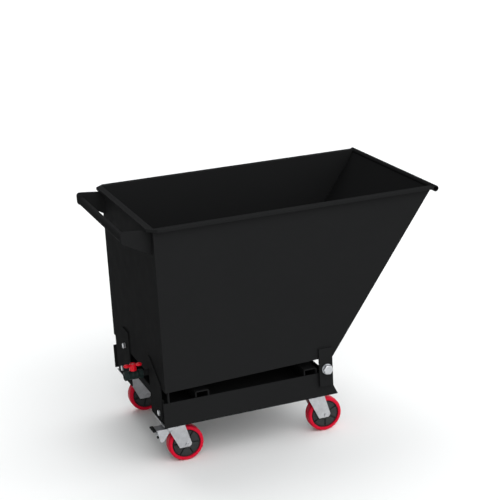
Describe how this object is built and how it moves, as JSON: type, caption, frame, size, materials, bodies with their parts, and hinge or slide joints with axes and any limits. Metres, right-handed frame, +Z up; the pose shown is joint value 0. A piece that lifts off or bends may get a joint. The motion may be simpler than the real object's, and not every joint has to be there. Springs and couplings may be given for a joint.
{
  "type": "tipping tub cart",
  "caption": "Sheet-steel tub with a sloping pouring front, hinged at the front of a low base frame on swivel casters, with a rear push bar and a drain valve.",
  "frame": {"origin": "on the ground under the middle of the whole length, in the middle plane", "axes": "+X forward to the pouring lip, +Y to the left side, +Z up"},
  "size_m": [1.1016, 0.6678, 0.848],
  "materials": {
    "black_paint": "satin powder coat",
    "zinc": "bright zinc plate",
    "bronze": "machined bronze bush",
    "valve_casting": "dark coated casting",
    "seat_white": "smooth fluoropolymer",
    "ball_chrome": "polished",
    "lever_red": "dipped enamel",
    "hub_grey": "moulded polyamide",
    "tread_red": "satin polyurethane",
    "cap_black": "moulded grip"
  },
  "bodies": {
    "frame": {"frame_side_left": "black_paint", "frame_side_right": "black_paint", "frame_rear_plate": "black_paint", "frame_front_plate": "black_paint", "deck_plate": "black_paint", "cross_tubes": "black_paint", "caster_pads": "black_paint", "lock_plate_left": "black_paint", "lock_plate_right": "black_paint", "lock_bolts": "zinc", "clamp_bolt": "zinc", "hinge_bolts": "zinc", "hinge_washers": "zinc", "hinge_nuts": "zinc", "caster_plates": "zinc", "caster_bolts": "zinc", "kingpins": "zinc", "ball_races": "zinc"},
    "tub": {"side_panel_left": "black_paint", "side_panel_right": "black_paint", "rear_wall": "black_paint", "front_wall": "black_paint", "floor_plate": "black_paint", "rest_feet": "black_paint", "handle_bar": "black_paint", "handle_plates": "black_paint", "hinge_plates": "black_paint", "hinge_bushes": "bronze", "drain_stub": "black_paint", "valve_body": "valve_casting", "valve_seats": "seat_white", "valve_gland": "zinc"},
    "valve_handle": {"valve_ball": "ball_chrome", "valve_stem": "zinc", "valve_lever": "lever_red", "valve_lever_nut": "zinc"},
    "swivel_rear_left": {"fork_rear_left": "zinc", "axle_rear_left": "zinc"},
    "wheel_rear_left": {"hub_rear_left": "hub_grey", "tread_rear_left": "tread_red", "bearing_rear_left": "zinc"},
    "swivel_rear_right": {"fork_rear_right": "zinc", "axle_rear_right": "zinc"},
    "wheel_rear_right": {"hub_rear_right": "hub_grey", "tread_rear_right": "tread_red", "bearing_rear_right": "zinc"},
    "swivel_front_left": {"fork_front_left": "zinc", "axle_front_left": "zinc"},
    "wheel_front_left": {"hub_front_left": "hub_grey", "tread_front_left": "tread_red", "bearing_front_left": "zinc"},
    "swivel_front_right": {"fork_front_right": "zinc", "axle_front_right": "zinc"},
    "wheel_front_right": {"hub_front_right": "hub_grey", "tread_front_right": "tread_red", "bearing_front_right": "zinc"},
    "brake_rear_right": {"brake_lever_rear_right": "zinc", "brake_caps_rear_right": "cap_black"},
    "brake_front_left": {"brake_lever_front_left": "zinc", "brake_caps_front_left": "cap_black"}
  },
  "joints": [
    {"name": "tub_tip", "type": "hinge", "parent": "frame", "child": "tub", "pos_m": [0.12075, 0, 0.261], "axis": [0, 1, 0], "range_deg": [0, 70]},
    {"name": "valve_turn", "type": "hinge", "parent": "tub", "child": "valve_handle", "pos_m": [-0.50625, -0.128, 0.2938], "axis": [0, 0, 1], "range_deg": [0, 90]},
    {"name": "swivel_rear_left", "type": "hinge", "parent": "frame", "child": "swivel_rear_left", "pos_m": [-0.41425, 0.232, 0.15], "axis": [0, 0, 1], "continuous": true},
    {"name": "roll_rear_left", "type": "hinge", "parent": "swivel_rear_left", "child": "wheel_rear_left", "pos_m": [-0.37425, 0.232, 0.0625], "axis": [0, 1, 0], "continuous": true},
    {"name": "swivel_rear_right", "type": "hinge", "parent": "frame", "child": "swivel_rear_right", "pos_m": [-0.41425, -0.232, 0.15], "axis": [0, 0, 1], "continuous": true},
    {"name": "roll_rear_right", "type": "hinge", "parent": "swivel_rear_right", "child": "wheel_rear_right", "pos_m": [-0.37425, -0.232, 0.0625], "axis": [0, 1, 0], "continuous": true},
    {"name": "swivel_front_left", "type": "hinge", "parent": "frame", "child": "swivel_front_left", "pos_m": [0.09675, 0.232, 0.15], "axis": [0, 0, 1], "continuous": true},
    {"name": "roll_front_left", "type": "hinge", "parent": "swivel_front_left", "child": "wheel_front_left", "pos_m": [0.13675, 0.232, 0.0625], "axis": [0, 1, 0], "continuous": true},
    {"name": "swivel_front_right", "type": "hinge", "parent": "frame", "child": "swivel_front_right", "pos_m": [0.09675, -0.232, 0.15], "axis": [0, 0, 1], "continuous": true},
    {"name": "roll_front_right", "type": "hinge", "parent": "swivel_front_right", "child": "wheel_front_right", "pos_m": [0.13675, -0.232, 0.0625], "axis": [0, 1, 0], "continuous": true},
    {"name": "brake_rear_right", "type": "hinge", "parent": "swivel_rear_right", "child": "brake_rear_right", "pos_m": [-0.42625, -0.232, 0.12], "axis": [0, -1, 0], "range_deg": [0, 8.5]},
    {"name": "brake_front_left", "type": "hinge", "parent": "swivel_front_left", "child": "brake_front_left", "pos_m": [0.08475, 0.232, 0.12], "axis": [0, -1, 0], "range_deg": [0, 8.5]}
  ]
}
